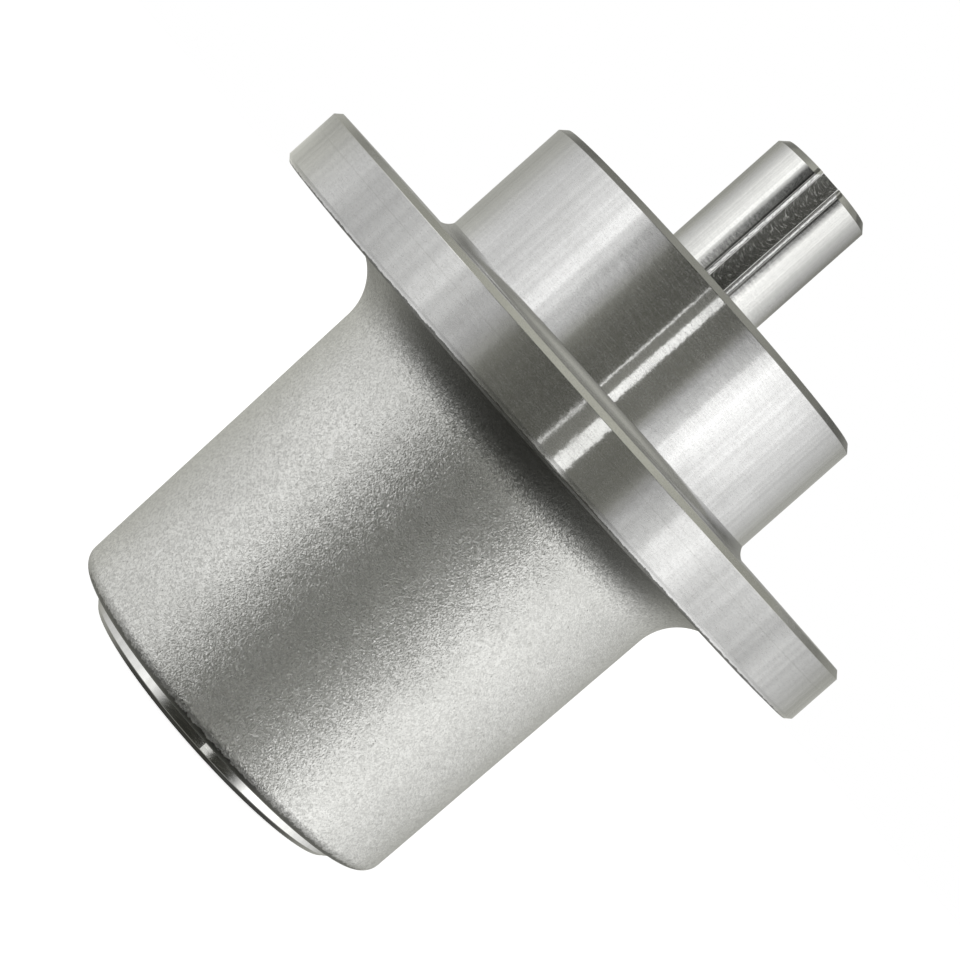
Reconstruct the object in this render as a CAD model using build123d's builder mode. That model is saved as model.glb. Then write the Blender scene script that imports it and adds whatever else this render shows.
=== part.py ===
from build123d import *
import os
from math import radians, tan

# Blade spindle of a mower deck. It stands on its blade hub with the keyed pulley end up.
# Z = 0 is the flange face that is pulled up against the underside of the deck, and the
# keyway looks towards -Y. All sizes are in millimetres.

INCH = 25.4

# Housing casting, outside
flange_diameter = 6 * INCH
flange_thickness = 14.3
flange_top_chamfer = 1.3
flange_bottom_chamfer = 1.0
pilot_wall = 7.8
pilot_height = 31.65
pilot_chamfer = 1.4
pilot_root_fillet = 3.5
barrel_wall = 8.6
barrel_length = 85.15
barrel_draft = 0.87
barrel_root_fillet = 12.0
barrel_foot_fillet = 3.5

# Bolts that hold the flange to the deck
bolt_count = 6
bolt_edge_distance = 11.2
bolt_hole_diameter = 10.5
spot_face_diameter = 16.4
spot_face_depth = 0.8

# Ball bearings, both of the same size
bearing_outside = 72.0
bearing_bore = 30.0
bearing_width = 19.0
bearing_corner = 1.1
ball_diameter = 12.3
ball_count = 8
ball_running_gap = 0.04
groove_conformity = 0.52
shoulder_reach = 3.6
cage_thickness = 4.0
cage_end_gap = 0.25
cage_horn_rise = 2.3
cage_pocket_gap = 0.15
cage_valley_radius = 2.2

# Rubber shields clipped into both sides of each bearing
shield_thickness = 1.6
shield_web = 0.9
shield_rim = 1.5
shield_inset = 0.15
shield_lip_gap = 0.06

# Fits
press_gap = 0.02
slip_gap = 0.10
seal_lip_gap = 0.05

# Bores of the housing
bearing_recess = 6.0
shoulder_width = 4.0
bore_mouth_chamfer = 1.0

# Snap ring above the upper bearing
snap_ring_thickness = 2.5
snap_ring_bite = 1.5
snap_ring_side_gap = 0.10
snap_ring_band = 5.2
snap_ring_opening = 34.0
snap_ring_lug_radius = 4.2
snap_ring_eye_diameter = 2.5

# Lip seal below the lower bearing
seal_recess = 7.8
seal_width = 8.0
seal_wall = 2.0
seal_web = 2.0
seal_lip_depth = 3.6
seal_lip_width = 1.0

# Spindle shaft, turned in one piece with the blade hub
shaft_diameter = INCH
shaft_standout = 31.8
shaft_end_chamfer = 1.5
shaft_setback = 0.6
hub_labyrinth_gap = 0.5
hub_standout = 3.55
hub_chamfer = 1.1
hub_top_gap = 0.9
boss_diameter = 45.0
boss_gap = 0.8
abutment_diameter = 37.0

# Keyway for a 3/16 inch key, milled open at the shaft's end, with broken edges
keyway_width = 3 / 16 * INCH
keyway_depth = 2.6
keyway_length = 34.8
keyway_floor_fillet = 0.45
keyway_edge_break = 0.65

# Threaded holes in the two ends of the shaft, each at the outside diameter of its thread
blade_thread_diameter = 5 / 8 * INCH
blade_thread_depth = 38.0
blade_mouth_chamfer = 0.8
pulley_thread_diameter = 3 / 8 * INCH
pulley_thread_depth = 30.0
pulley_mouth_chamfer = 0.6
drill_point_angle = 118.0

# Spacer sleeve between the inner races
sleeve_wall = 4.0
sleeve_chamfer = 0.5

# Radii and heights that follow from the sizes above
seat_radius = bearing_outside / 2
journal_radius = bearing_bore / 2
flange_radius = flange_diameter / 2
pilot_radius = seat_radius + pilot_wall
barrel_radius = seat_radius + barrel_wall
foot_radius = barrel_radius - barrel_length * tan(radians(barrel_draft))
shaft_radius = shaft_diameter / 2
hub_radius = seat_radius - hub_labyrinth_gap
bolt_circle_radius = flange_radius - bolt_edge_distance
web_radius = seat_radius - shoulder_width

barrel_top = -flange_thickness
barrel_foot = barrel_top - barrel_length
hub_foot = barrel_foot - hub_standout
upper_bearing_top = pilot_height - bearing_recess
upper_bearing_foot = upper_bearing_top - bearing_width
seal_foot = barrel_foot + seal_recess
lower_bearing_foot = seal_foot + seal_width
lower_bearing_top = lower_bearing_foot + bearing_width
shaft_top = pilot_height + shaft_standout

pitch_radius = (bearing_outside + bearing_bore) / 4
ball_radius = ball_diameter / 2
groove_radius = groove_conformity * ball_diameter
inner_shoulder = pitch_radius - shoulder_reach
outer_shoulder = pitch_radius + shoulder_reach

os.makedirs("parts", exist_ok=True)


def save(piece, name):
    """Labels a finished piece and writes it under its own name."""
    piece.label = name
    export_step(piece, f"parts/{name}.step")


def rings(builder, radius, height):
    """The round edges of a turned piece with this radius at this height."""
    circles = builder.edges().filter_by(GeomType.CIRCLE)
    at_height = circles.filter_by(lambda edge: abs(edge.arc_center.Z - height) < 0.001)
    return at_height.filter_by(lambda edge: abs(edge.radius - radius) < 0.001)


# Housing: one casting with a turned flange and pilot and a tapered, as-cast barrel.
# It is bored from both ends for the bearings, and the metal left between is their shoulder.
with BuildPart() as housing:
    with BuildSketch(Plane.XZ):
        with BuildLine():
            Polyline(
                (seat_radius, barrel_foot),
                (foot_radius, barrel_foot),
                (barrel_radius, barrel_top),
                (flange_radius, barrel_top),
                (flange_radius, 0),
                (pilot_radius, 0),
                (pilot_radius, pilot_height),
                (seat_radius, pilot_height),
                (seat_radius, upper_bearing_foot),
                (web_radius, upper_bearing_foot),
                (web_radius, lower_bearing_top),
                (seat_radius, lower_bearing_top),
                close=True,
            )
        make_face()
    revolve(axis=Axis.Z)
    fillet(rings(housing, pilot_radius, 0), pilot_root_fillet)
    fillet(rings(housing, barrel_radius, barrel_top), barrel_root_fillet)
    fillet(rings(housing, foot_radius, barrel_foot), barrel_foot_fillet)
    chamfer(rings(housing, flange_radius, 0), flange_top_chamfer)
    chamfer(rings(housing, flange_radius, barrel_top), flange_bottom_chamfer)
    chamfer(rings(housing, pilot_radius, pilot_height), pilot_chamfer)
    chamfer(rings(housing, seat_radius, pilot_height), bore_mouth_chamfer)
    chamfer(rings(housing, seat_radius, barrel_foot), bore_mouth_chamfer)

    # Groove of the snap ring, cut into the bore just above the upper bearing
    groove_width = snap_ring_thickness + 2 * snap_ring_side_gap
    with Locations((0, 0, upper_bearing_top)):
        Cylinder(
            seat_radius + snap_ring_bite,
            groove_width,
            align=(Align.CENTER, Align.CENTER, Align.MIN),
            mode=Mode.SUBTRACT,
        )

    # Bolt holes, spot-faced where the bolt heads bear on the rough underside
    underside = Plane(origin=(0, 0, barrel_top), x_dir=(1, 0, 0), z_dir=(0, 0, -1))
    with Locations(underside):
        with PolarLocations(bolt_circle_radius, bolt_count, start_angle=180 / bolt_count):
            CounterBoreHole(
                radius=bolt_hole_diameter / 2,
                counter_bore_radius=spot_face_diameter / 2,
                counter_bore_depth=spot_face_depth,
                depth=flange_thickness,
            )

save(housing.part, "housing")


def drill(diameter, depth, mouth_chamfer):
    """Cuts a blind hole with a drill point and a chamfered mouth, on the current place."""
    radius = diameter / 2
    point = radius / tan(radians(drill_point_angle / 2))
    Cylinder(radius, depth, align=(Align.CENTER, Align.CENTER, Align.MAX), mode=Mode.SUBTRACT)
    with Locations((0, 0, -depth)):
        Cone(0, radius, point, align=(Align.CENTER, Align.CENTER, Align.MAX), mode=Mode.SUBTRACT)
    Cone(
        radius,
        radius + mouth_chamfer,
        mouth_chamfer,
        align=(Align.CENTER, Align.CENTER, Align.MAX),
        mode=Mode.SUBTRACT,
    )


# Spindle shaft: one steel turning. The blade is clamped to the foot of the wide hub, the
# boss above it runs in the lip seal, the journal carries both bearings, and the thinner
# end takes the pulley and its key.
boss_top = lower_bearing_foot - boss_gap
hub_top = seal_foot - hub_top_gap
keyway_plane = Plane(origin=(0, 0, 0), x_dir=(0, -1, 0), z_dir=(-1, 0, 0))
with BuildPart() as spindle_shaft:
    with BuildSketch(keyway_plane):
        with BuildLine():
            Polyline(
                (0, hub_foot),
                (hub_radius, hub_foot),
                (hub_radius, hub_top),
                (boss_diameter / 2, hub_top),
                (boss_diameter / 2, boss_top),
                (abutment_diameter / 2, boss_top),
                (abutment_diameter / 2, lower_bearing_foot),
                (journal_radius, lower_bearing_foot),
                (journal_radius, upper_bearing_top - shaft_setback),
                (shaft_radius, upper_bearing_top - shaft_setback),
                (shaft_radius, shaft_top),
                (0, shaft_top),
                close=True,
            )
        make_face()
    revolve(axis=Axis.Z)
    chamfer(rings(spindle_shaft, hub_radius, hub_foot), hub_chamfer)
    chamfer(rings(spindle_shaft, hub_radius, hub_top), hub_chamfer / 2)

    # The floor of the keyway is flat, and its lower end is as round as the milling cutter
    keyway_floor = shaft_radius - keyway_depth
    keyway_end = shaft_top - keyway_length
    cutter_radius = keyway_width / 2
    with BuildSketch(Plane.XZ.offset(keyway_floor)):
        with Locations((0, shaft_top)):
            Rectangle(
                keyway_width,
                keyway_length - cutter_radius,
                align=(Align.CENTER, Align.MAX),
            )
        with Locations((0, keyway_end + cutter_radius)):
            Circle(cutter_radius)
    extrude(amount=2 * keyway_depth, mode=Mode.SUBTRACT)
    floor_face = spindle_shaft.faces().filter_by(Plane.XZ).sort_by(Axis.Y)[-1]
    floor_sides = floor_face.edges().filter_by(Axis.Z)
    fillet(floor_sides, keyway_floor_fillet)
    round_faces = spindle_shaft.faces().filter_by(GeomType.CYLINDER)
    keyed_skin = round_faces.filter_by(lambda face: abs(face.radius - shaft_radius) < 0.001)
    keyway_lips = keyed_skin.edges().filter_by(lambda edge: edge.center().Y < -keyway_floor)
    keyway_lips = keyway_lips.filter_by_position(Axis.Z, keyway_end - 0.001, shaft_top - 0.001)
    chamfer(keyway_lips, keyway_edge_break)

    chamfer(rings(spindle_shaft, shaft_radius, shaft_top), shaft_end_chamfer)

    with Locations(Plane.XY.offset(shaft_top)):
        drill(pulley_thread_diameter, pulley_thread_depth, pulley_mouth_chamfer)
    blade_end = Plane(origin=(0, 0, hub_foot), x_dir=(1, 0, 0), z_dir=(0, 0, -1))
    with Locations(blade_end):
        drill(blade_thread_diameter, blade_thread_depth, blade_mouth_chamfer)

save(spindle_shaft.part, "spindle_shaft")


# Spacer sleeve: a steel tube on the journal that keeps the two inner races apart.
sleeve_foot = lower_bearing_top + press_gap
sleeve_length = upper_bearing_foot - press_gap - sleeve_foot
sleeve_inside = journal_radius + slip_gap
with BuildPart() as spacer_sleeve:
    with BuildSketch(Plane.XY.offset(sleeve_foot)):
        Circle(sleeve_inside + sleeve_wall)
        Circle(sleeve_inside, mode=Mode.SUBTRACT)
    extrude(amount=sleeve_length)
    chamfer(rings(spacer_sleeve, sleeve_inside + sleeve_wall, sleeve_foot), sleeve_chamfer)
    chamfer(
        rings(spacer_sleeve, sleeve_inside + sleeve_wall, sleeve_foot + sleeve_length),
        sleeve_chamfer,
    )

save(spacer_sleeve.part, "spacer_sleeve")


# Snap ring: spring steel, open at the back, with two eyed lugs for the pliers.
ring_outside = seat_radius + snap_ring_bite - slip_gap
ring_foot = upper_bearing_top + snap_ring_side_gap
lug_angle = snap_ring_opening / 2
lug_radius = seat_radius - snap_ring_lug_radius
with BuildPart() as snap_ring:
    with BuildSketch(Plane.XY.offset(ring_foot)):
        Circle(ring_outside)
        Circle(ring_outside - snap_ring_band, mode=Mode.SUBTRACT)
        with BuildLine(mode=Mode.PRIVATE) as mouth:
            Polyline(
                (0, 0),
                Vector(2 * ring_outside, 0).rotate(Axis.Z, 90 - lug_angle),
                Vector(2 * ring_outside, 0).rotate(Axis.Z, 90 + lug_angle),
                close=True,
            )
        make_face(mouth.edges(), mode=Mode.SUBTRACT)
        with PolarLocations(lug_radius, 2, start_angle=90 - lug_angle, angular_range=2 * lug_angle,
                            endpoint=True):
            Circle(snap_ring_lug_radius)
            Circle(snap_ring_eye_diameter / 2, mode=Mode.SUBTRACT)
    extrude(amount=snap_ring_thickness)

save(snap_ring.part, "snap_ring")


# Lower seal: a rubber-covered ring pressed into the bore, with a lip on the shaft's boss.
lip_radius = boss_diameter / 2 + seal_lip_gap
seal_outside = seat_radius - press_gap
seal_top = lower_bearing_foot - press_gap
with BuildPart() as lower_seal:
    with BuildSketch(Plane.XZ):
        with BuildLine():
            Polyline(
                (seal_outside, seal_foot),
                (seal_outside, seal_top),
                (seal_outside - seal_wall, seal_top),
                (seal_outside - seal_wall, seal_foot + seal_web),
                (lip_radius + 2 * seal_lip_width, seal_foot + seal_web),
                (lip_radius + seal_lip_width, seal_foot + seal_web + seal_lip_depth),
                (lip_radius, seal_foot + seal_web + seal_lip_depth),
                (lip_radius + seal_lip_width, seal_foot),
                close=True,
            )
        make_face()
    revolve(axis=Axis.Z)

save(lower_seal.part, "lower_seal")


def outer_race(middle):
    """Outer race: a ring with one deep groove inside and a step at each end for the shields."""
    outside = seat_radius - press_gap
    with BuildPart() as race:
        with BuildSketch(Plane.XZ):
            with Locations((outside, middle)):
                Rectangle(outside - outer_shoulder, bearing_width, align=(Align.MAX, Align.CENTER))
            step_depth = shield_thickness + shield_inset
            for side in (1, -1):
                with Locations((outer_shoulder, middle + side * bearing_width / 2)):
                    Rectangle(2 * shield_rim, 2 * step_depth, mode=Mode.SUBTRACT)
            groove_middle = pitch_radius + ball_radius + ball_running_gap - groove_radius
            with Locations((groove_middle, middle)):
                Circle(groove_radius, mode=Mode.SUBTRACT)
        revolve(axis=Axis.Z)
        for side in (1, -1):
            chamfer(rings(race, outside, middle + side * bearing_width / 2), bearing_corner)
    return race.part


def inner_race(middle):
    """Inner race: a ring on the journal with one deep groove outside."""
    inside = journal_radius + press_gap
    with BuildPart() as race:
        with BuildSketch(Plane.XZ):
            with Locations((inside, middle)):
                Rectangle(inner_shoulder - inside, bearing_width, align=(Align.MIN, Align.CENTER))
            groove_middle = pitch_radius - ball_radius - ball_running_gap + groove_radius
            with Locations((groove_middle, middle)):
                Circle(groove_radius, mode=Mode.SUBTRACT)
        revolve(axis=Axis.Z)
        for side in (1, -1):
            chamfer(rings(race, inside, middle + side * bearing_width / 2), bearing_corner)
    return race.part


def crown_cage(middle):
    """Crown cage: a moulded ring with a round pocket for each ball, open upwards between horns."""
    pocket_radius = ball_radius + cage_pocket_gap
    back_depth = bearing_width / 2 - shield_inset - shield_thickness - cage_end_gap
    with BuildPart() as cage:
        with BuildSketch(Plane.XY.offset(middle - back_depth)):
            Circle(pitch_radius + cage_thickness / 2)
            Circle(pitch_radius - cage_thickness / 2, mode=Mode.SUBTRACT)
        extrude(amount=back_depth + cage_horn_rise)
        with Locations((0, 0, middle)):
            with PolarLocations(pitch_radius, ball_count):
                Sphere(pocket_radius, mode=Mode.SUBTRACT)
        with Locations((0, 0, middle + cage_horn_rise)):
            with PolarLocations(pitch_radius, ball_count, start_angle=180 / ball_count):
                Cylinder(
                    cage_valley_radius,
                    2 * cage_thickness,
                    rotation=(0, 90, 0),
                    mode=Mode.SUBTRACT,
                )
    return cage.part


def ball(middle, number):
    """One ball, on the pitch circle at its own share of a turn."""
    place = Vector(pitch_radius, 0, middle).rotate(Axis.Z, number * 360 / ball_count)
    with BuildPart() as sphere:
        with Locations(place):
            Sphere(ball_radius)
    return sphere.part


def shield(middle, side):
    """Rubber shield: a thin web between a thick rim in the outer race and a lip on the inner."""
    outer_face = middle + side * (bearing_width / 2 - shield_inset)
    inner_face = outer_face - side * shield_thickness
    web_outside = outer_face - side * (shield_thickness - shield_web) / 2
    web_inside = web_outside - side * shield_web
    rim_outside = outer_shoulder + shield_rim - press_gap
    rim_inside = outer_shoulder
    lip_inside = inner_shoulder + shield_lip_gap
    lip_outside = lip_inside + shield_rim
    with BuildPart() as seal:
        with BuildSketch(Plane.XZ):
            with BuildLine():
                Polyline(
                    (rim_outside, outer_face),
                    (rim_inside, outer_face),
                    (rim_inside - shield_web, web_outside),
                    (lip_outside + shield_web, web_outside),
                    (lip_outside, outer_face),
                    (lip_inside, outer_face),
                    (lip_inside, web_inside),
                    (rim_inside, web_inside),
                    (rim_inside, inner_face),
                    (rim_outside, inner_face),
                    close=True,
                )
            make_face()
        revolve(axis=Axis.Z)
    return seal.part


# The two sealed ball bearings, the upper one in the pilot and the lower one near the hub.
for position, bearing_foot in (("upper", upper_bearing_foot), ("lower", lower_bearing_foot)):
    bearing_middle = bearing_foot + bearing_width / 2
    save(outer_race(bearing_middle), f"{position}_bearing_outer_race")
    save(inner_race(bearing_middle), f"{position}_bearing_inner_race")
    save(crown_cage(bearing_middle), f"{position}_bearing_cage")
    save(shield(bearing_middle, 1), f"{position}_bearing_top_shield")
    save(shield(bearing_middle, -1), f"{position}_bearing_bottom_shield")
    for number in range(ball_count):
        save(ball(bearing_middle, number), f"{position}_bearing_ball_{number + 1}")
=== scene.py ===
"""Looks of a mower deck spindle: a cast and turned aluminium housing, a keyed steel shaft with
the blade hub in one piece, two sealed ball bearings, a snap ring and a lip seal."""

from math import atan2, cos, pi, radians, sin, tan

import bpy
import numpy as np
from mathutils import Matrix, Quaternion, Vector


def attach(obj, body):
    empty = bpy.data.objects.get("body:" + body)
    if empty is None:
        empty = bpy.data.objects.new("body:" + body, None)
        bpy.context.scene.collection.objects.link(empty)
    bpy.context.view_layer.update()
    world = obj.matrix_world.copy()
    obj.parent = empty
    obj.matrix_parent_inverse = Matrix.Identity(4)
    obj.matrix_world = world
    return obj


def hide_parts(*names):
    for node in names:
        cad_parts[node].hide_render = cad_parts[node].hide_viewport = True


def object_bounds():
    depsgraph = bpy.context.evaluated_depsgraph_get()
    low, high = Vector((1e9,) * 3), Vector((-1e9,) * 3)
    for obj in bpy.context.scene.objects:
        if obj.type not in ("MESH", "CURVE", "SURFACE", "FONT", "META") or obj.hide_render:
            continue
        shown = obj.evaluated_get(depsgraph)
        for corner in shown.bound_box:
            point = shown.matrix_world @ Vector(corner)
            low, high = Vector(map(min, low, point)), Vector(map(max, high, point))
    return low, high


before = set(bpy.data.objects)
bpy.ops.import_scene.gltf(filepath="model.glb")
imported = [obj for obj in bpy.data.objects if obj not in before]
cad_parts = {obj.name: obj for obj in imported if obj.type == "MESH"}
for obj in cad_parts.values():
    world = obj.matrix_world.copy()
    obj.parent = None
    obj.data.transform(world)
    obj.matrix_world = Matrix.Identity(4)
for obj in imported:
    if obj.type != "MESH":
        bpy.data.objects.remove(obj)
cad_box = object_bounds()


# Housing casting: one sand casting in aluminium, poured with the flange, the pilot and the long
# tapered barrel. The flange, the pilot, the foot and the bores are turned, and the barrel and the
# underside of the flange keep the skin of the mould. Six bolts pull it up against the deck.
MM = 0.001
HOUSING_TURNS = 450
HOUSING_BOLTS = 6
BOLT_CIRCLE = 65.0
BOLT_HOLE = 5.25
SPOT_FACE = 8.2
SPOT_DEPTH = 0.8
FLANGE_RIM = 76.2
UNDERSIDE = -14.3
TOP_CHAMFER = 1.3
LOW_CHAMFER = 1.1
PILOT = 43.8
PILOT_TOP = 31.65
PILOT_EDGE = 1.4
PILOT_FILLET = 3.5
FILLET_TILT = radians(22)
BARREL_TOP = 44.6
BARREL_FOOT = 43.307
FOOT = -99.45
ROOT_FILLET = 12.0
ASKEW = 0.55
draft = atan2(BARREL_TOP - BARREL_FOOT, UNDERSIDE - FOOT)
root_tangent = BARREL_TOP + ROOT_FILLET * (1 - sin(draft)) / cos(draft)
pilot_corner = PILOT + 2.2 * tan(FILLET_TILT)
pilot_tangent = pilot_corner + PILOT_FILLET * tan((pi / 2 - FILLET_TILT) / 2)
BORE, BORE_MOUTH, BORE_MIDDLE = 36.0, 37.0, 32.0
UPPER_SHOULDER, LOWER_SHOULDER = 6.65, -64.65
RING_GROOVE, GROOVE_FOOT, GROOVE_TOP = 37.5, 25.65, 28.35
CAST, TURNED, BORED = 0, 1, 2

# Each corner: radius, height, rounding, steps of its arc, finish of its arc,
# finish of the leg that follows, steps of that leg
HOUSING_CORNERS = [
    (BORE_MOUTH, PILOT_TOP, 0.10, 2, TURNED, TURNED, 4),
    (PILOT - PILOT_EDGE, PILOT_TOP, 0.12, 2, TURNED, TURNED, 2),
    (PILOT, PILOT_TOP - PILOT_EDGE, 0.12, 2, TURNED, TURNED, 10),
    (PILOT, 2.2, 0.0, 0, TURNED, TURNED, 1),
    (pilot_corner, 0.0, PILOT_FILLET, 10, TURNED, None, 1),
    (FLANGE_RIM - TOP_CHAMFER, 0.0, 0.0, 0, TURNED, TURNED, 2),
    (FLANGE_RIM, -TOP_CHAMFER, 0.12, 2, TURNED, TURNED, 5),
    (FLANGE_RIM, UNDERSIDE + LOW_CHAMFER, 0.12, 2, TURNED, TURNED, 2),
    (FLANGE_RIM - LOW_CHAMFER, UNDERSIDE, 0.0, 0, CAST, None, 1),
    (BARREL_TOP, UNDERSIDE, ROOT_FILLET, 18, CAST, CAST, 44),
    (BARREL_FOOT, FOOT, 3.5, 14, CAST, TURNED, 2),
    (BORE_MOUTH, FOOT, 0.10, 2, BORED, BORED, 2),
    (BORE, FOOT + 1.0, 0.0, 0, BORED, BORED, 4),
    (BORE, LOWER_SHOULDER, 0.0, 0, BORED, BORED, 2),
    (BORE_MIDDLE, LOWER_SHOULDER, 0.3, 2, BORED, CAST, 6),
    (BORE_MIDDLE, UPPER_SHOULDER, 0.3, 2, BORED, BORED, 2),
    (BORE, UPPER_SHOULDER, 0.0, 0, BORED, BORED, 3),
    (BORE, GROOVE_FOOT, 0.0, 0, BORED, BORED, 1),
    (RING_GROOVE, GROOVE_FOOT, 0.0, 0, BORED, BORED, 1),
    (RING_GROOVE, GROOVE_TOP, 0.0, 0, BORED, BORED, 1),
    (BORE, GROOVE_TOP, 0.0, 0, BORED, BORED, 1),
    (BORE, PILOT_TOP - 1.0, 0.0, 0, BORED, BORED, 2),
]


def turned_outline(corners):
    """Outline of a turned piece, as points (radius, height) in millimetres and a finish for each leg.

    A rounded corner becomes the arc that touches both legs: it starts at the distance
    rounding / tan(half the angle between the legs) from the corner, and its centre lies on
    the bisector at rounding / sin(half that angle). Turned legs get one more row beside each of
    their ends, so that they shade flat up to the edge."""
    points, finishes = [], []
    count = len(corners)
    for n, corner in enumerate(corners):
        rounding, arc_steps, arc_finish, leg_finish, leg_steps = corner[2:]
        corner = np.array(corner[:2])
        to_last = np.array(corners[n - 1][:2]) - corner
        to_next = np.array(corners[(n + 1) % count][:2]) - corner
        to_last /= np.linalg.norm(to_last)
        to_next /= np.linalg.norm(to_next)
        if rounding:
            half = np.arccos(np.clip(to_last @ to_next, -1, 1)) / 2
            bisector = (to_last + to_next) / np.linalg.norm(to_last + to_next)
            centre = corner + bisector * rounding / np.sin(half)
            start = corner + to_last * rounding / np.tan(half) - centre
            end = corner + to_next * rounding / np.tan(half) - centre
            share = np.linspace(0, 1, arc_steps + 1)[:, None]
            swept = np.arccos(np.clip(start @ end / rounding**2, -1, 1))
            arc = np.sin((1 - share) * swept) * start + np.sin(share * swept) * end
            points.append(centre + arc / np.sin(swept))
            finishes += [arc_finish] * arc_steps
        else:
            points.append(corner[None, :])
        finishes.append((leg_finish, leg_steps))
    outline, kinds = [], []
    flat = iter(finishes)
    for n, run in enumerate(points):
        outline.append(run)
        for _ in range(len(run) - 1):
            kinds.append(next(flat))
        leg_finish, leg_steps = next(flat)
        last, first = run[-1], points[(n + 1) % count][0]
        share = np.linspace(0, 1, leg_steps + 1)[1:-1]
        if leg_finish == TURNED:
            beside_edge = min(0.05 / np.linalg.norm(first - last), 0.2)
            share = np.concatenate([[beside_edge], share, [1 - beside_edge]])
        outline.append(last + (first - last) * share[:, None])
        kinds += [leg_finish] * (len(share) + 1)
    return np.concatenate(outline), kinds


def spun(outline, turns):
    """Surface of revolution: x = r cos a, y = r sin a, z = h, for every point (r, h) and angle a."""
    angle = np.arange(turns) * 2 * pi / turns
    radius, height = outline[:, :1], outline[:, 1:] + 0 * angle
    return np.stack([radius * np.cos(angle), radius * np.sin(angle), height], axis=-1)


def quads(rows, columns, close_rows=False, close_columns=False):
    """Corner numbers of the quads of a grid, counted row by row."""
    row = np.arange(rows if close_rows else rows - 1)[:, None]
    column = np.arange(columns if close_columns else columns - 1)[None, :]
    next_row, next_column = (row + 1) % rows, (column + 1) % columns
    corners = [row * columns + column, row * columns + next_column,
               next_row * columns + next_column, next_row * columns + column]
    return np.stack(corners, axis=-1)


def welded(points, faces):
    """Merges points that share a place, to a tenth of a micron, and renumbers the faces."""
    _, first, number = np.unique(np.round(points, 4), axis=0, return_index=True, return_inverse=True)
    return points[first], number.reshape(-1)[faces]


def bolt_patch(turns, bolt):
    """The flange round one bolt hole: a grid from the sector's edge on top, in to the hole, down
    its wall, out over the spot face and on to the sector's edge below.

    Each column leaves the hole's axis in the direction of its own point on the sector's edge,
    and between two rings the grid is the straight blend of both."""
    sector = 2 * pi / HOUSING_BOLTS
    middle = (bolt + 0.5) * sector
    arc = np.linspace(-sector / 2, sector / 2, turns // HOUSING_BOLTS + 1)[:-1]
    side = np.linspace(0, 1, 11)[:-1]

    def edge(inside, outside, height):
        radius = np.concatenate([np.full(len(arc), inside), inside + (outside - inside) * side,
                                 np.full(len(arc), outside), outside + (inside - outside) * side])
        angle = middle + np.concatenate([arc, np.full(len(side), sector / 2),
                                         -arc, np.full(len(side), -sector / 2)])
        return np.stack([radius * np.cos(angle), radius * np.sin(angle),
                         np.full(len(radius), height)], axis=-1)

    top = edge(pilot_tangent, FLANGE_RIM - TOP_CHAMFER, 0.0)
    bottom = edge(root_tangent, FLANGE_RIM - LOW_CHAMFER, UNDERSIDE)
    centre = BOLT_CIRCLE * np.array([cos(middle), sin(middle)])
    away = top[:, :2] - centre
    away /= np.linalg.norm(away, axis=1, keepdims=True)

    def ring(radius, height):
        return np.concatenate([centre + radius * away, np.full((len(away), 1), height)], axis=1)

    spot_floor = UNDERSIDE + SPOT_DEPTH
    top_ring, low_ring = ring(BOLT_HOLE + 1.2, 0.0), ring(SPOT_FACE, UNDERSIDE)
    rows = [top + (top_ring - top) * share for share in (0.0, 0.3, 0.6, 0.85, 1.0)]
    rows += [ring(BOLT_HOLE + 0.12, 0.0), ring(BOLT_HOLE + 0.03, -0.03), ring(BOLT_HOLE, -0.12)]
    rows += [ring(BOLT_HOLE, -7.0), ring(BOLT_HOLE, spot_floor + 0.1)]
    rows += [ring(BOLT_HOLE + 0.1, spot_floor), ring(7.0, spot_floor)]
    rows += [ring(SPOT_FACE - 0.15, spot_floor), ring(SPOT_FACE, spot_floor - 0.15)]
    rows += [low_ring + (bottom - low_ring) * share for share in (0.0, 0.15, 0.4, 0.7, 1.0)]
    finish = [TURNED] * 7 + [BORED] * 7 + [CAST] * 4
    grid = np.stack(rows)
    faces = quads(len(rows), grid.shape[1], close_columns=True)
    kinds = np.repeat(finish, grid.shape[1])
    return grid.reshape(-1, 3), faces.reshape(-1, 4), kinds


def uneven(points, size, reach, seed):
    """Slow unevenness of a cast skin: the mean of 40 sine waves with random directions and starts,
    each about as long as size, scaled to the given reach."""
    random = np.random.default_rng(seed)
    waves = random.normal(size=(40, 3)) / size
    starts = random.uniform(0, 2 * pi, 40)
    return reach * np.sin(points @ waves.T * 2 + starts).mean(axis=1) * 2.5


def solid_mesh(name, points, faces, kinds, finishes, sharp_above):
    """A mesh object from points in millimetres and quads, smooth but for edges above an angle."""
    mesh = bpy.data.meshes.new(name)
    mesh.from_pydata((points * MM).tolist(), [], faces.tolist())
    for finish in finishes:
        mesh.materials.append(finish)
    mesh.polygons.foreach_set("material_index", np.asarray(kinds, dtype=np.int32))
    mesh.polygons.foreach_set("use_smooth", np.ones(len(faces), dtype=bool))
    mesh.set_sharp_from_angle(angle=radians(sharp_above))
    mesh.update()
    piece = bpy.data.objects.new(name, mesh)
    bpy.context.scene.collection.objects.link(piece)
    return piece


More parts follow.
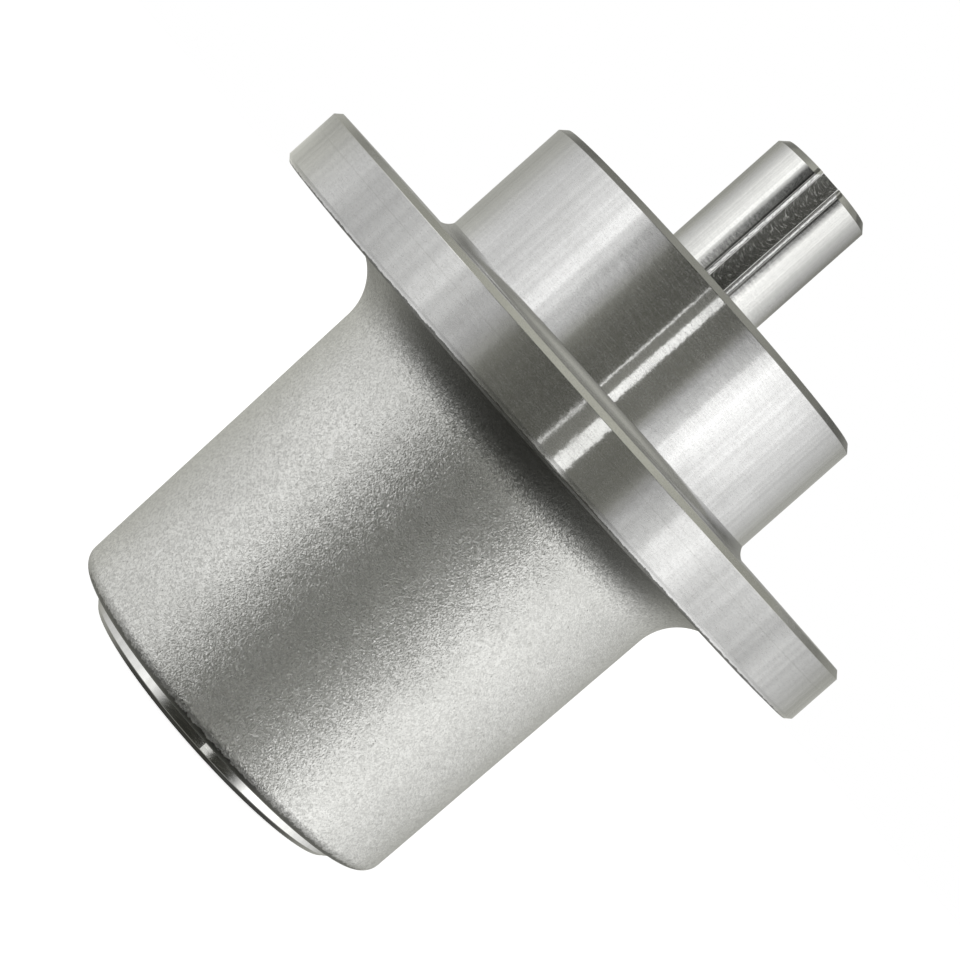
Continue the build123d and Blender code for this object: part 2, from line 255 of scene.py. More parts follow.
class Finish:
    """A metal or rubber finish: the nodes of one material, wired by short calls."""

    def __init__(self, name, colour, metallic, roughness):
        self.material = bpy.data.materials.new(name)
        self.material.use_nodes = True
        self.tree = self.material.node_tree
        self.shader = self.tree.nodes["Principled BSDF"]
        self.shader.inputs["Base Color"].default_value = (*colour, 1)
        self.shader.inputs["Metallic"].default_value = metallic
        self.shader.inputs["Roughness"].default_value = roughness
        place = self.node("ShaderNodeTexCoord").outputs["Object"]
        self.place = place
        self.x, self.y, self.z = self.node("ShaderNodeSeparateXYZ", Vector=place).outputs[:3]

    def node(self, kind, settings=None, **inputs):
        """Adds a node, sets its fields, and wires or sets its named inputs."""
        node = self.tree.nodes.new(kind)
        for field, value in (settings or {}).items():
            setattr(node, field, value)
        for socket, value in inputs.items():
            self.wire(node.inputs[socket.replace("_", " ")], value)
        return node

    def wire(self, socket, value):
        """Links another node's output to an input, or sets the input to a plain value."""
        if isinstance(value, bpy.types.NodeSocket):
            self.tree.links.new(value, socket)
        else:
            socket.default_value = value

    def math(self, operation, *values):
        """One step of arithmetic on sockets or numbers."""
        node = self.node("ShaderNodeMath", {"operation": operation})
        for socket, value in zip(node.inputs, values):
            self.wire(socket, value)
        return node.outputs[0]

    def times(self, first, second):
        return self.math("MULTIPLY", first, second)

    def plus(self, first, second):
        return self.math("ADD", first, second)

    def minus(self, first, second):
        return self.math("SUBTRACT", first, second)

    def step(self, value, start, end, low=0.0, high=1.0):
        """Goes smoothly from low to high as the value goes from start to end."""
        node = self.node("ShaderNodeMapRange", {"interpolation_type": "SMOOTHSTEP"}, Value=value)
        ends = {"From Min": start, "From Max": end, "To Min": low, "To Max": high}
        for socket, number in ends.items():
            node.inputs[socket].default_value = number
        return node.outputs[0]

    def noise(self, scale, detail=2.0, roughness=0.5, place=None):
        """Cloudy numbers round 0.5, in spots about 1 / scale metres wide."""
        node = self.node("ShaderNodeTexNoise", Vector=place or self.place, Scale=scale,
                         Detail=detail, Roughness=roughness)
        return node.outputs[0]

    def cells(self, scale):
        """Distance to the middle of the nearest cell, in cells about 1 / scale metres wide."""
        node = self.node("ShaderNodeTexVoronoi", Vector=self.place, Scale=scale)
        return node.outputs["Distance"]

    def vector(self, x, y, z):
        """Joins three numbers into a place or direction."""
        return self.node("ShaderNodeCombineXYZ", X=x, Y=y, Z=z).outputs[0]

    def mix(self, share, first, second):
        """Blends two colours by a share between 0 and 1."""
        node = self.node("ShaderNodeMix", {"data_type": "RGBA"})
        for number, value in ((0, share), (6, first), (7, second)):
            if not isinstance(value, (int, float, bpy.types.NodeSocket)):
                value = (*value, 1)
            self.wire(node.inputs[number], value)
        return node.outputs[2]

    def bump(self, height, reach, strength=1.0, below=None):
        """Tilts the surface as if heights from 0 to 1 stood out by reach metres."""
        node = self.node("ShaderNodeBump", Height=height, Distance=reach, Strength=strength)
        if below:
            self.tree.links.new(below, node.inputs["Normal"])
        return node.outputs[0]

    def sandy(self, normal, scale, reach):
        """Grains like sand: small cells, each of which leans the surface its own way. Returns the
        normal and a number between 0 and 1 for each cell."""
        cell = self.node("ShaderNodeTexVoronoi", Vector=self.place, Scale=scale).outputs["Color"]
        lean = self.node("ShaderNodeVectorMath", {"operation": "MULTIPLY_ADD"})
        for socket, value in zip(lean.inputs, (cell, (reach,) * 3, (-reach / 2,) * 3)):
            self.wire(socket, value)
        leaning = self.node("ShaderNodeVectorMath", {"operation": "ADD"})
        self.wire(leaning.inputs[0], normal)
        self.wire(leaning.inputs[1], lean.outputs[0])
        level = self.node("ShaderNodeVectorMath", {"operation": "NORMALIZE"},
                          Vector=leaning.outputs[0])
        return level.outputs[0], self.node("ShaderNodeSeparateXYZ", Vector=cell).outputs[2]

    def radius(self):
        """Distance from the spindle's axis."""
        square = self.plus(self.times(self.x, self.x), self.times(self.y, self.y))
        return self.math("SQRT", square)

    def facing(self):
        """How far a place is turned to the keyway's side: 1 right at it, and -1 right behind."""
        return self.math("DIVIDE", self.times(self.y, -1.0), self.radius())

    def use(self, **sockets):
        """Wires results into the shader's own sockets."""
        for socket, value in sockets.items():
            self.wire(self.shader.inputs[socket.replace("_", " ")], value)
        return self.material


def cast_skin():
    """Sand-cast aluminium: crisp grains pressed by the sand of the mould, with pits, grey stains and
    small scuffs, painted shade in the pits, in the grains' low places and on their downward sides,
    and painted glints. The turning tool cut the foot's rounding, with a ragged edge where the cut
    runs out, and the cut is painted dark as shade, darkest in front. The corner under the flange has
    painted shade in front, and the rim of its underside has painted shade all round."""
    f = Finish("cast_aluminium_skin", (0.83, 0.83, 0.80), 0.96, 0.38)
    facing = f.facing()
    wander = f.times(f.minus(f.noise(900, 3.0, 0.65), 0.5), 0.0024)
    ragged = f.plus(f.z, wander)
    cut = f.step(ragged, (FOOT + 1.20) * MM, (FOOT + 1.55) * MM, 1.0, 0.0)

    # The grains, which the cut has nearly taken away
    fine = f.noise(3400, 1.0, 0.5)
    grain = f.minus(fine, f.cells(2700))
    grain = f.plus(grain, f.times(f.noise(1700, 1.0, 0.5), 0.2))
    pits = f.step(f.cells(620), 0.05, 0.13)
    height = f.times(f.plus(grain, f.times(pits, 0.5)), f.minus(1.0, f.times(cut, 0.8)))
    leaning, grain_tilt = f.sandy(f.bump(height, 0.00010, 0.5), 2900, 0.21)

    # Stains, scuffs, painted glints, and painted shade on low and downward grains and in pits
    stains = f.noise(30, 4.0, 0.65)
    painted_glints = f.step(f.cells(1150), 0.08, 0.23, 1.0, 0.0)
    scuff_place = f.node("ShaderNodeMapping", Vector=f.place, Rotation=(0.4, 0.3, 0.9),
                         Scale=(90, 800, 260)).outputs[0]
    scuffs = f.step(f.noise(1.0, 2.0, 0.5, scuff_place), 0.66, 0.74)
    scuffs = f.times(scuffs, f.step(f.noise(38, 2.0, 0.5), 0.50, 0.64))
    tone = f.mix(f.step(stains, 0.38, 0.62), (0.92, 0.92, 0.885), (1.0, 1.0, 0.965))
    # Painted shade in the low places of the grains
    tone = f.mix(f.step(fine, 0.40, 0.62, 0.25, 0.0), tone, (0.56, 0.56, 0.535))
    # Painted shade on the grains that lean downwards
    tone = f.mix(f.step(grain_tilt, 0.0, 0.9, 0.65, 0.0), tone, (0.60, 0.60, 0.575))
    # Painted glints: near-white specks that stand in for highlights
    tone = f.mix(f.times(painted_glints, 0.65), tone, (1.0, 1.0, 0.99))
    # Painted shade in the pits
    tone = f.mix(f.step(pits, 0.0, 1.0, 0.6, 0.0), tone, (0.28, 0.28, 0.26))
    tone = f.mix(f.times(scuffs, 0.7), tone, (1.0, 1.0, 0.98))

    # The cut foot, painted dark as shade and darkest in front, and the painted shade under the flange
    cut_painted_shade = f.mix(f.step(facing, 0.93, 0.985), (0.36, 0.36, 0.34), (0.13, 0.13, 0.12))
    tone = f.mix(cut, tone, cut_painted_shade)
    # Painted shade in the corner under the flange, strongest in front, and on the underside's rim all
    # round
    root_painted_shade = f.times(f.step(ragged, -0.0235, -0.0172, 0.0, 0.8),
                      f.step(facing, 0.45, 0.9, 0.15, 1.0))
    painted_shade_below = f.math("MAXIMUM", root_painted_shade, f.step(f.radius(), 0.0730, 0.0740, 0.0, 0.8))
    tone = f.mix(painted_shade_below, tone, (0.10, 0.10, 0.09))
    rough = f.plus(f.step(stains, 0.3, 0.7, 0.43, 0.37), f.times(cut, -0.08))
    return f.use(Base_Color=tone, Roughness=rough, Normal=leaning)


def turned_skin(name, colour, metallic, roughness, pitch, depth):
    """Turned metal: the feed marks of the lathe run round the axis, so each is a place on the sum of
    radius and height, and gloss spreads across them, along the axis. Dull marks and smudges
    scatter a little light, which shows where the metal mirrors the dark."""
    f = Finish(name, colour, metallic, roughness)
    f.shader.inputs["Anisotropic Rotation"].default_value = 0.25
    across = f.plus(f.radius(), f.z)

    def lanes(scale, along):
        """Marks that are 1 / along times as long round the axis as they are wide."""
        place = f.vector(f.times(f.x, along), f.times(f.y, along), across)
        return f.noise(scale, 2.0, 0.6, place)

    dashes = lanes(0.9 / pitch, 0.15)
    specks = f.noise(0.75 / pitch, 2.0, 0.6)
    bands = lanes(0.07 / pitch, 0.03)
    smudge = f.noise(70, 4.0, 0.65)
    tone = f.mix(f.step(dashes, 0.30, 0.72), tuple(0.97 * part for part in colour), colour)
    tone = f.mix(f.step(bands, 0.35, 0.70, 0.15, 0.0), tone, tuple(0.80 * part for part in colour))
    haze = f.plus(f.step(dashes, 0.42, 0.64, 0.0, 0.10), f.step(smudge, 0.42, 0.70, 0.0, 0.08))
    haze = f.plus(haze, f.step(specks, 0.48, 0.66, 0.0, 0.12))
    f.use(Metallic=f.minus(metallic, haze))
    rough = f.step(smudge, 0.3, 0.8, roughness - 0.01, roughness + 0.03)
    tangent = f.node("ShaderNodeTangent", {"direction_type": "RADIAL", "axis": "Z"})
    feed_marks = f.bump(lanes(0.5 / pitch, 0.02), depth)
    chatter = f.bump(lanes(0.27 / pitch, 0.6), 5.5 * depth, 1.0, feed_marks)
    return f, tone, rough, haze, tangent.outputs[0], chatter


def turned_aluminium():
    """Turned aluminium of the flange, pilot and foot. The flange's rim is duller and has one deeper
    mark round it, its upper edge is brushed, and the pilot's upper edge is dull. The flange's lower
    edge was filed round, so it shades nearly like the rim, with a dark ragged line at its foot."""
    f, tone, rough, haze, round_axis, normal = turned_skin(
        "turned_aluminium", (0.85, 0.85, 0.842), 0.90, 0.10, 0.00030, 0.0000015)
    radius = f.radius()
    across = f.plus(radius, f.z)
    at_rim = f.step(radius, 0.0755, 0.0759)
    off_mark = f.math("ABSOLUTE", f.plus(f.z, 0.0053))
    mark = f.times(f.step(off_mark, 0.00004, 0.00016, 1.0, 0.0), at_rim)
    tone = f.mix(f.times(at_rim, 0.7), tone, (0.56, 0.56, 0.55))
    tone = f.mix(f.times(mark, 0.30), tone, (0.45, 0.45, 0.43))

    # Both upper edges, cut at 45 degrees
    flange_edge = (FLANGE_RIM - TOP_CHAMFER) * MM
    brushed = f.times(f.step(across, flange_edge - 0.00010, flange_edge - 0.00004),
                      f.math("GREATER_THAN", radius, flange_edge - 0.0002))
    tone = f.mix(brushed, tone, (0.92, 0.92, 0.87))
    pilot_rim = f.times(f.step(across, 0.07396, 0.07400), f.math("LESS_THAN", radius, 0.0440))
    tone = f.mix(pilot_rim, tone, (0.56, 0.56, 0.54))

    # The filed lower edge, which rises in front as the flange was turned askew
    front = f.math("MAXIMUM", f.facing(), 0.0)
    rise = f.times(f.times(front, front), ASKEW * MM)
    to_edge = f.plus(f.minus(radius, f.z), rise)
    filed = f.times(f.step(to_edge, 0.08930, 0.08937), f.math("GREATER_THAN", radius, 0.0749))
    rough = f.plus(rough, f.plus(f.times(brushed, 0.08), f.times(filed, 0.10)))
    # A dark ragged line along the foot of the filed edge, where the metal is also duller
    dark_line_edge = f.plus(radius, f.times(f.minus(f.noise(700, 3.0, 0.65), 0.5), 0.0008))
    dark_edge_line = f.times(filed, f.step(dark_line_edge, 0.07524, 0.07540, 1.0, 0.0))
    tone = f.mix(f.times(dark_edge_line, 0.85), tone, (0.12, 0.12, 0.11))
    dull = f.plus(haze, f.times(dark_edge_line, 0.3))
    sideways = f.vector(f.math("DIVIDE", f.x, radius), f.math("DIVIDE", f.y, radius), -0.12)
    normal = f.mix(f.times(filed, 0.9), normal, sideways)
    f.shader.inputs["Anisotropic"].default_value = 0.95
    return f.use(Base_Color=tone, Metallic=f.minus(0.90, dull), Roughness=rough,
                 Tangent=round_axis, Normal=normal)


def bored_aluminium():
    """Bored aluminium inside the housing, a little duller than the turned outside."""
    f, tone, rough, _, round_axis, normal = turned_skin(
        "bored_aluminium", (0.70, 0.70, 0.68), 0.95, 0.30, 0.00045, 0.000008)
    f.shader.inputs["Anisotropic"].default_value = 0.6
    return f.use(Base_Color=tone, Roughness=rough, Tangent=round_axis, Normal=normal)


outline, kinds = turned_outline(HOUSING_CORNERS)
grid = spun(outline, HOUSING_TURNS)
lathe_faces = quads(len(outline), HOUSING_TURNS, close_rows=True, close_columns=True)
kept = np.array([kind is not None for kind in kinds])
lathe_kinds = np.repeat([kind for kind in kinds if kind is not None], HOUSING_TURNS)
housing_points, housing_faces = [grid.reshape(-1, 3)], [lathe_faces[kept].reshape(-1, 4)]
housing_kinds = [lathe_kinds]
start = len(housing_points[0])
for bolt in range(HOUSING_BOLTS):
    patch_points, patch_faces, patch_kinds = bolt_patch(HOUSING_TURNS, bolt)
    housing_points.append(patch_points)
    housing_faces.append(patch_faces + start)
    housing_kinds.append(patch_kinds)
    start += len(patch_points)
points, faces = welded(np.concatenate(housing_points), np.concatenate(housing_faces))
housing_kinds = np.concatenate(housing_kinds)

# The mould leaves the cast skin slightly uneven
is_cast = np.zeros(len(points), dtype=bool)
is_cast[faces[housing_kinds == CAST]] = True
is_cast[faces[housing_kinds != CAST]] = False
radius = np.hypot(points[:, 0], points[:, 1])
swell = uneven(points, 16.0, 0.05, 3) + uneven(points, 4.5, 0.012, 4)
outward = points[:, :2] / radius[:, None]
points[:, :2] += outward * (swell * is_cast)[:, None]

# The flange was turned a little askew to the casting, so its lower edge rises towards the
# keyway's side
towards_front = np.clip(-points[:, 1] / radius, 0, 1) ** 2
at_edge = np.clip((radius - 73.5) / 1.5, 0, 1) * (points[:, 2] < UNDERSIDE + 2)
points[:, 2] += ASKEW * towards_front * at_edge
housing = solid_mesh("housing_casting", points, faces, housing_kinds,
                     [cast_skin(), turned_aluminium(), bored_aluminium()], 24)
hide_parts("housing")
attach(housing, "housing")


# Two sealed ball bearings, pressed into the housing's bores: hardened steel races and balls, a
# moulded nylon crown cage, and a black rubber shield clipped into each side.
def ground_steel(name, colour, roughness):
    """Ground and honed bearing steel with fine round marks."""
    f, tone, rough, _, round_axis, normal = turned_skin(name, colour, 1.0, roughness, 0.00018, 0.000002)
    f.shader.inputs["Anisotropic"].default_value = 0.5
    return f.use(Base_Color=tone, Roughness=rough, Tangent=round_axis, Normal=normal)


def ball_steel():
    """Lapped balls: nearly a mirror, with the faintest haze."""
    f = Finish("ball_steel", (0.68, 0.68, 0.67), 1.0, 0.07)
    haze = f.noise(300, 3.0, 0.5)
    tone = f.mix(f.step(haze, 0.3, 0.7), (0.64, 0.64, 0.63), (0.70, 0.70, 0.69))
    return f.use(Base_Color=tone, Roughness=f.step(haze, 0.3, 0.7, 0.05, 0.10))


def cage_nylon():
    """Moulded natural nylon: waxy ivory with a soft sheen."""
    f = Finish("cage_nylon", (0.74, 0.68, 0.52), 0.0, 0.42)
    cloud = f.noise(120, 3.0, 0.5)
    tone = f.mix(f.step(cloud, 0.3, 0.7), (0.70, 0.64, 0.48), (0.78, 0.72, 0.57))
    f.shader.inputs["Subsurface Weight"].default_value = 0.15
    f.shader.inputs["Subsurface Scale"].default_value = 0.001
    return f.use(Base_Color=tone, Roughness=f.step(cloud, 0.3, 0.7, 0.38, 0.48),
                 Normal=f.bump(f.noise(1400, 3.0, 0.5), 0.00002))


def black_rubber(name):
    """Moulded nitrile rubber: soft black with faint round flow lines and grey dust."""
    f = Finish(name, (0.022, 0.022, 0.023), 0.0, 0.55)
    lines = f.noise(2600, 1.0, 0.5, f.vector(0.0, 0.0, f.plus(f.radius(), f.z)))
    dust = f.noise(160, 4.0, 0.65)
    tone = f.mix(f.step(dust, 0.48, 0.75, 0.0, 0.6), (0.020, 0.020, 0.021), (0.060, 0.060, 0.058))
    rough = f.step(dust, 0.3, 0.7, 0.48, 0.64)
    return f.use(Base_Color=tone, Roughness=rough, Normal=f.bump(lines, 0.00003, 0.6))


race_finish = ground_steel("bearing_race_steel", (0.64, 0.64, 0.63), 0.18)
ball_finish = ball_steel()
cage_finish = cage_nylon()
shield_finish = black_rubber("shield_rubber")
bearing_finishes = {"outer_race": race_finish, "inner_race": race_finish, "cage": cage_finish,
                    "top_shield": shield_finish, "bottom_shield": shield_finish}
bearing_finishes.update({f"ball_{number}": ball_finish for number in range(1, 9)})
for bearing in ("upper_bearing", "lower_bearing"):
    for part, finish in bearing_finishes.items():
        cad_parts[f"{bearing}_{part}"].material_slots[0].material = finish


# Spacer sleeve: a cut length of drawn steel tube that keeps the two inner races apart.
sleeve_finish = ground_steel("sleeve_tube_steel", (0.50, 0.50, 0.49), 0.34)
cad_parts["spacer_sleeve"].material_slots[0].material = sleeve_finish


# Snap ring: stamped spring steel, tempered and blackened, sprung into its groove over the bearing.
def blackened_steel():
    """Tempered steel with a thin dark oxide, worn lighter in places."""
    f = Finish("blackened_spring_steel", (0.10, 0.10, 0.105), 1.0, 0.42)
    wear = f.noise(210, 4.0, 0.6)
    tone = f.mix(f.step(wear, 0.52, 0.74), (0.085, 0.085, 0.09), (0.26, 0.255, 0.25))
    return f.use(Base_Color=tone, Roughness=f.step(wear, 0.3, 0.7, 0.48, 0.34),
                 Normal=f.bump(f.noise(1500, 3.0, 0.6), 0.00001))


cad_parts["snap_ring"].material_slots[0].material = blackened_steel()


# Lower seal: a rubber-covered ring pressed into the foot of the housing, its lip on the shaft.
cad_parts["lower_seal"].material_slots[0].material = black_rubber("seal_rubber")


# Spindle shaft: one turning from steel bar with the wide blade hub at its foot. The upper end is
# finely turned and carries a keyway, milled with a small end mill and with its edges filed over.
def spindle_steel():
    """Turned and polished steel. The keyway's floor is painted dark as shade and shows the round-ended
    marks of the mill as lighter arcs, its filed lips are bright and burred, and the right one is
    pressed down along a line, with a painted dark reflection outside both lips. The hub has no feed
    marks, and in front the edge under it has painted shade."""
    f, tone, rough, haze, round_axis, normal = turned_skin(
        "spindle_steel", (0.82, 0.82, 0.795), 1.0, 0.09, 0.00022, 0.0000015)
    above_hub = f.step(f.z, -0.0975, -0.0965)
    f.use(Metallic=f.minus(1.0, f.times(haze, f.times(above_hub, 0.65))),
          Anisotropic=f.times(above_hub, 0.88))
    # Painted shade on the edge under the hub, in front
    painted_hub_shade = f.times(f.step(f.z, -0.10212, -0.10204, 0.88, 0.0),
                        f.step(f.facing(), 0.55, 0.85))
    tone = f.mix(painted_hub_shade, tone, (0.10, 0.10, 0.09))

    # Where the keyway's floor and its two lips are, by the distance from its middle line
    off_line = f.math("ABSOLUTE", f.x)
    above_end = f.math("GREATER_THAN", f.z, 0.0284)
    outside = f.math("LESS_THAN", f.y, -0.0108)
    near_floor = f.math("LESS_THAN", f.math("ABSOLUTE", f.plus(f.y, 0.0101)), 0.0002)
    on_floor = f.times(f.times(f.math("LESS_THAN", off_line, 0.0020), near_floor), above_end)
    on_lips = f.times(f.step(off_line, 0.0031, 0.0034, 1.0, 0.0), f.times(outside, above_end))

    # Each stroke of the mill leaves an arc, so its place along the floor is z + sqrt(mill^2 - x^2)
    mill = 0.0024
    bow = f.math("SQRT", f.math("MAXIMUM", f.minus(mill**2, f.times(f.x, f.x)), 0.0))
    arcs = f.noise(1.0, 2.0, 0.6, f.vector(f.times(f.x, 850), 0.0, f.times(f.plus(f.z, bow), 2900)))
    floor_height = f.times(f.plus(arcs, f.noise(2400, 3.0, 0.7)), on_floor)
    normal = f.bump(floor_height, 0.00022, 0.9, normal)
    normal = f.bump(f.times(f.noise(1900, 2.0, 0.6), on_lips), 0.00016, 0.9, normal)
    # The keyway's floor is painted dark as shade, with the mill's arcs lighter
    floor_shade_and_marks = f.mix(f.step(arcs, 0.54, 0.66), (0.25, 0.25, 0.235), (0.95, 0.95, 0.93))
    tone = f.mix(f.times(on_floor, 0.85), tone, floor_shade_and_marks)
    tone = f.mix(f.times(on_lips, 0.8), tone, (1.0, 1.0, 0.99))

    # The pressed line on the right lip, and a painted dark reflection outside both lips
    right_lip = f.times(on_lips, f.math("GREATER_THAN", f.x, 0.0))
    off_pressed = f.math("ABSOLUTE", f.minus(off_line, 0.0025))
    pressed = f.step(off_pressed, 0.00010, 0.00024, 0.85, 0.10)
    tone = f.mix(f.times(right_lip, pressed), tone, (0.14, 0.14, 0.13))
    wander = f.times(f.minus(f.noise(1600, 3.0, 0.6), 0.5), 0.0004)
    painted_dark_reflection = f.times(f.step(f.plus(off_line, wander), 0.00298, 0.00306),
                      f.step(off_line, 0.0036, 0.0039, 1.0, 0.0))
    painted_dark_reflection = f.times(painted_dark_reflection, f.times(outside, above_end))
    tone = f.mix(f.times(painted_dark_reflection, 0.8), tone, (0.12, 0.12, 0.11))
    rough = f.plus(rough, f.times(f.plus(on_floor, f.times(on_lips, 0.5)), 0.10))
    return f.use(Base_Color=tone, Roughness=rough, Tangent=round_axis, Normal=normal)


spindle_finish = spindle_steel()
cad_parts["spindle_shaft"].material_slots[0].material = spindle_finish


# Threads tapped into both ends of the shaft, 3/8-24 for the pulley's bolt and 5/8-18 for the
# blade's, as ridges that wind down the wall of their holes.
def thread_ridge(name, outside, pitch, start, end):
    """A ridge of four-sided section wound round the axis: at the angle a its height is
    start + pitch a / (2 pi), its foot lies in the wall, and its crest stands 0.54 pitch inside.

    It fades in and out over half a turn, and both its ends are closed."""
    steps_per_turn = 72
    turns = (end - start) / pitch - 1
    angle = np.linspace(0, 2 * pi * turns, int(turns * steps_per_turn) + 1)
    grown = np.clip(np.minimum(angle, angle[-1] - angle) / pi, 0.02, 1)
    depth = 0.54 * pitch * grown
    middle = start + pitch * (0.5 + angle / (2 * pi))
    sunk = 0.02
    section = [(outside + sunk, -0.46 * pitch), (outside - depth, -0.13 * pitch),
               (outside - depth, 0.13 * pitch), (outside + sunk, 0.46 * pitch)]
    rings = []
    for radius, rise in section:
        radius = np.broadcast_to(radius, angle.shape)
        rings.append(np.stack([radius * np.cos(angle), radius * np.sin(angle), middle + rise], -1))
    points = np.stack(rings, axis=1).reshape(-1, 3)
    sides = quads(len(angle), 4, close_columns=True).reshape(-1, 4)[:, ::-1]
    last = 4 * (len(angle) - 1)
    caps = np.array([[0, 1, 2, 3], [last + 3, last + 2, last + 1, last]])
    faces = np.concatenate([sides, caps])
    ridge = solid_mesh(name, points, faces, np.zeros(len(faces)), [spindle_finish], 40)
    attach(ridge, "spindle")


INCH = 25.4
SHAFT_TOP, HUB_FOOT = 63.45, -103.0
thread_ridge("pulley_thread", 3 / 16 * INCH, INCH / 24, SHAFT_TOP - 27.5, SHAFT_TOP - 0.6)
thread_ridge("blade_thread", 5 / 16 * INCH, INCH / 18, HUB_FOOT + 0.8, HUB_FOOT + 35.0)


# The studio: a pale floor and an even white background. The spindle stands among pale soft boxes
# at both sides, with a grey backdrop behind it and the dark room, with two slits of light, in front.
floor_mesh = bpy.data.meshes.new("studio_floor")
corner = 3.0
height = cad_box[0][2] - 0.0001
floor_mesh.from_pydata([(-corner, -corner, height), (corner, -corner, height),
                        (corner, corner, height), (-corner, corner, height)], [], [(0, 1, 2, 3)])
floor = bpy.data.objects.new("studio_floor", floor_mesh)
bpy.context.scene.collection.objects.link(floor)
floor.visible_glossy = False
pale = Finish("pale_floor", (0.86, 0.86, 0.86), 0.0, 0.9)
tint = pale.mix(pale.noise(3.0, 3.0, 0.5), (0.85, 0.85, 0.85), (0.87, 0.87, 0.87))
seen = pale.node("ShaderNodeLightPath").outputs["Is Camera Ray"]
pale.use(Base_Color=tint, Emission_Color=(1, 1, 1, 1), Emission_Strength=pale.times(seen, 0.88))
floor_mesh.materials.append(pale.material)

# Light of the studio by direction round the object, in degrees from the camera's side,
# positive to its right: (angle, strength)
STUDIO_LIGHT = [
    (-148, 0.40), (-134, 0.46), (-112, 0.66), (-84, 0.80), (-74, 0.90), (-66, 0.96), (-61, 1.06),
    (-54, 1.22), (-51, 1.10), (-46, 0.98), (-41, 0.87), (-36, 0.76), (-31, 0.49), (-27, 0.25),
    (-20, 0.16), (-12, 0.12), (-1, 0.13), (2.2, 0.29), (7, 0.30), (14, 0.21), (24, 0.20),
    (28, 0.32), (33, 0.70), (40, 1.00), (48, 1.50), (54, 1.52), (66, 1.40), (86, 1.28),
    (108, 0.90), (128, 0.64), (150, 0.40),
]
NARROW_SLIT, WIDE_SLIT = (0.6, 1.5, 1.3), (7.2, 12.0, 1.5)
CAMERA_TURN = 2.3
scene = bpy.context.scene
studio = bpy.data.worlds.new("soft_studio")
scene.world = studio
studio.use_nodes = True
tree = studio.node_tree
tree.nodes.clear()


def studio_node(kind, settings=None, values=None):
    """Adds a node to the studio's light and sets its fields and inputs."""
    node = tree.nodes.new(kind)
    for field, value in (settings or {}).items():
        setattr(node, field, value)
    for number, value in (values or {}).items():
        if isinstance(value, bpy.types.NodeSocket):
            tree.links.new(value, node.inputs[number])
        else:
            node.inputs[number].default_value = value
    return node


def studio_math(operation, *values):
    """One step of arithmetic on sockets or numbers."""
    node = studio_node("ShaderNodeMath", {"operation": operation}, dict(enumerate(values)))
    return node.outputs[0]


def product(first, *others):
    """Multiplies sockets and numbers, one after the other."""
    for value in others:
        first = studio_math("MULTIPLY", first, value)
    return first


def studio_step(value, start, end, low=0.0, high=1.0):
    """Goes smoothly from low to high as the value goes from start to end."""
    return studio_node("ShaderNodeMapRange", {"interpolation_type": "SMOOTHSTEP"},
                       {0: value, 1: start, 2: end, 3: low, 4: high}).outputs[0]


direction = studio_node("ShaderNodeSeparateXYZ", values={
    0: studio_node("ShaderNodeTexCoord").outputs["Generated"]}).outputs
around_axis = studio_math("ARCTAN2", direction[0], product(direction[1], -1.0))
from_camera = studio_math("ADD", around_axis, radians(CAMERA_TURN))
off_front = studio_math("ABSOLUTE", from_camera)


def by_turn(start, end, low=0.0, high=1.0, angle=from_camera):
    """Goes smoothly from low to high between two angles round the object, in degrees."""
    return studio_step(angle, radians(start), radians(end), low, high)


def by_height(start, end, low=0.0, high=1.0):
    """Goes smoothly from low to high between two angles above eye level, in degrees."""
    return studio_step(direction[2], sin(radians(start)), sin(radians(end)), low, high)


def blended(share, first, second):
    """Blends two colours by a share between 0 and 1."""
    node = studio_node("ShaderNodeMix", {"data_type": "RGBA"}, {0: share, 6: first, 7: second})
    return node.outputs[2]


turn_share = studio_math("ADD", studio_math("DIVIDE", from_camera, 2 * pi), 0.5)
ramp = studio_node("ShaderNodeValToRGB", values={0: turn_share})
stops = ramp.color_ramp.elements
for number, (angle, strength) in enumerate(STUDIO_LIGHT):
    stop = stops[number] if number < 2 else stops.new((angle + 180) / 360)
    stop.position = (angle + 180) / 360
    level = strength / 2
    stop.color = (level, level, level * min(0.80 + 0.3 * strength, 1.0), 1)

slits = 0.0
for start, end, strength in (NARROW_SLIT, WIDE_SLIT):
    half = (end - start) / 2
    off_middle = studio_math("SUBTRACT", from_camera, radians((start + end) / 2))
    lit = studio_step(studio_math("ABSOLUTE", off_middle),
                      radians(half - 0.2), radians(half + 0.2), strength, 0.0)
    slits = studio_math("ADD", slits, lit)
wide_slit_light = lit

# The cloth of the boxes hangs in soft folds
fold_place = studio_node("ShaderNodeCombineXYZ", values={0: product(from_camera, 14.0)}).outputs[0]
cloth = studio_node("ShaderNodeTexNoise", values={"Vector": fold_place, "Scale": 1.0, "Detail": 2.0})
folds = studio_step(cloth.outputs[0], 0.3, 0.7, 1.78, 2.18)

# Above the spindle's shoulders the dark room reaches farther round to both sides, as the shaft
# mirrors it, and the backdrop is darker up high
wide_dark = product(by_turn(40, 60, angle=off_front), by_turn(-118, -88, 0.85, 1.2),
                    by_turn(20, 60, 1.0, 0.66), by_turn(70, 100, 1.0, 0.78))
high_up = by_height(2.7, 3.0)
shade = studio_math("ADD", product(studio_math("SUBTRACT", wide_dark, 1.0), high_up), 1.0)
behind = product(by_turn(105, 150, angle=off_front), by_height(9, 30, 0.0, 0.45))
shade = product(shade, studio_math("SUBTRACT", 1.0, behind))

# Just below eye level, where the flange's rim mirrors it, the light is stronger far to both sides
# and weaker beside the front
low_down = product(by_height(-0.3, -1.0), by_height(-8, -6))
low_sides = studio_math("SUBTRACT", by_turn(-112, -92, 0.62, -0.15), by_turn(56, 68, 0.0, 0.42))
low_sides = studio_math("ADD", low_sides, by_turn(-42, -32, 0.0, 0.15))
low_sides = studio_math("ADD", low_sides, by_turn(98, 110, 0.0, 0.60))
shade = product(shade, studio_math("ADD", product(low_down, low_sides), 1.0))

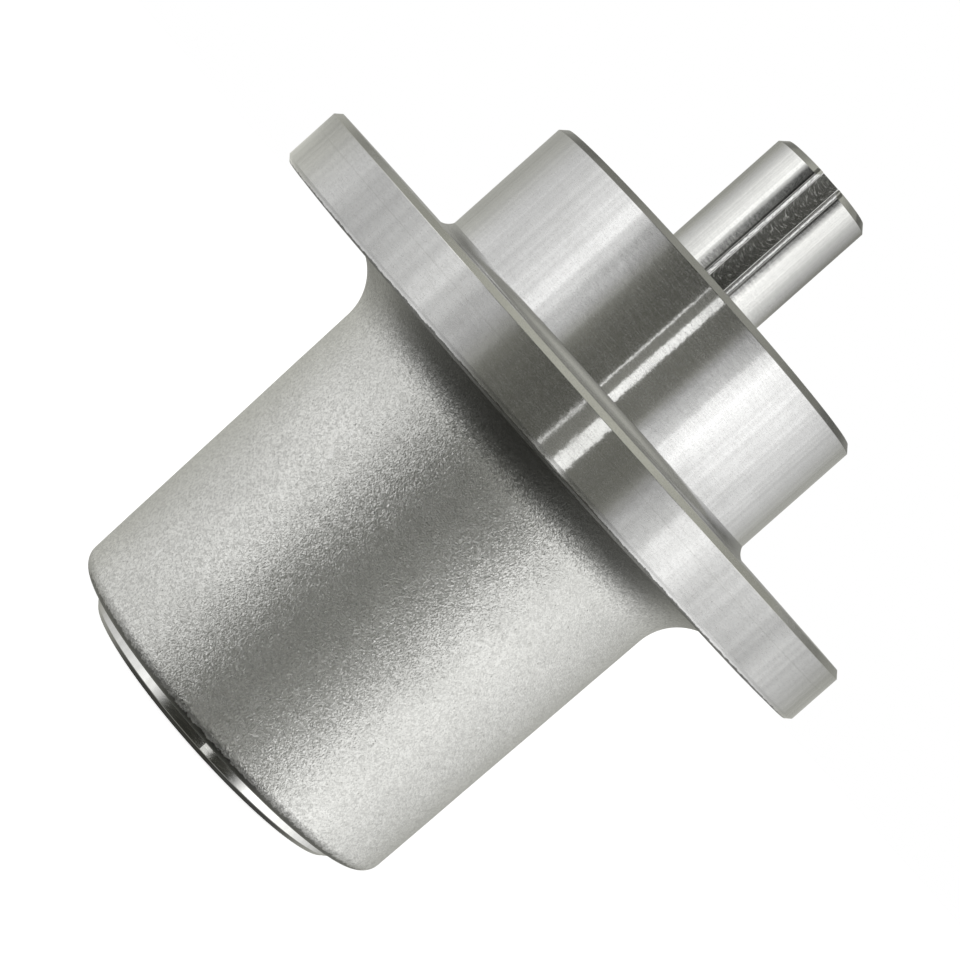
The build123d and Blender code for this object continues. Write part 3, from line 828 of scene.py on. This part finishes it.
boxes = studio_node("ShaderNodeVectorMath", {"operation": "SCALE"},
                    {0: ramp.outputs[0], "Scale": product(folds, shade)}).outputs[0]
slit_level = product(slits, shade)
slit_light = studio_node("ShaderNodeCombineXYZ", values={0: slit_level, 1: slit_level, 2: slit_level})
around = studio_node("ShaderNodeVectorMath", {"operation": "ADD"},
                     {0: boxes, 1: slit_light.outputs[0]}).outputs[0]

# Grey overhead, dark below, and a nearly black strip low in front, which the blade hub mirrors
# with only a glint of the wide slit in it
up_front = blended(by_height(36, 42), around, (0.26, 0.26, 0.235, 1))
above = blended(by_height(50, 80), up_front, (0.43, 0.43, 0.39, 1))
darker_below = product(by_height(-8, -60), by_turn(50, 120, 1.0, 0.55, off_front))
at_feet = product(by_height(-7.9, -8.7), by_turn(28, 46, 0.97, 0.0, off_front),
                  by_height(-14, -12, 0.25, 1.0))
at_feet = product(at_feet, studio_math("SUBTRACT", 1.0, product(wide_slit_light, 0.25)))
below = blended(studio_math("MAXIMUM", darker_below, at_feet), above, (0.02, 0.02, 0.018, 1))
seen_directly = studio_node("ShaderNodeLightPath").outputs["Is Camera Ray"]
shown = blended(seen_directly, below, (1, 1, 1, 1))
light = studio_node("ShaderNodeBackground", values={0: shown, 1: 1.0})
studio_node("ShaderNodeOutputWorld", values={0: light.outputs[0]})
scene.view_settings.view_transform = "Standard"

# The camera looks slightly down at the upright spindle from near its keyway's side, and is rolled
# so that the shaft points up and to the right, as the spindle lies in the picture.
EYE_DISTANCE, EYE_HEIGHT = 0.638, 0.0025
AIM_SIDE, AIM_HEIGHT = -0.0015, -0.02862
ROLL = 48.4
turn = radians(CAMERA_TURN)
sideways = Vector((cos(turn), -sin(turn), 0))
eye = Vector((-EYE_DISTANCE * sin(turn), -EYE_DISTANCE * cos(turn), EYE_HEIGHT))
aim = sideways * AIM_SIDE + Vector((0, 0, AIM_HEIGHT))
camera_data = bpy.data.cameras.new("camera")
camera = bpy.data.objects.new("camera", camera_data)
scene.collection.objects.link(camera)
camera.location = eye
camera.rotation_mode = "QUATERNION"
rolled = Quaternion((0, 0, 1), radians(ROLL))
camera.rotation_quaternion = (aim - eye).to_track_quat("-Z", "Y") @ rolled
camera_data.lens = 117.9
camera_data.sensor_width = 36.0
camera_data.clip_start = 0.01
scene.camera = camera
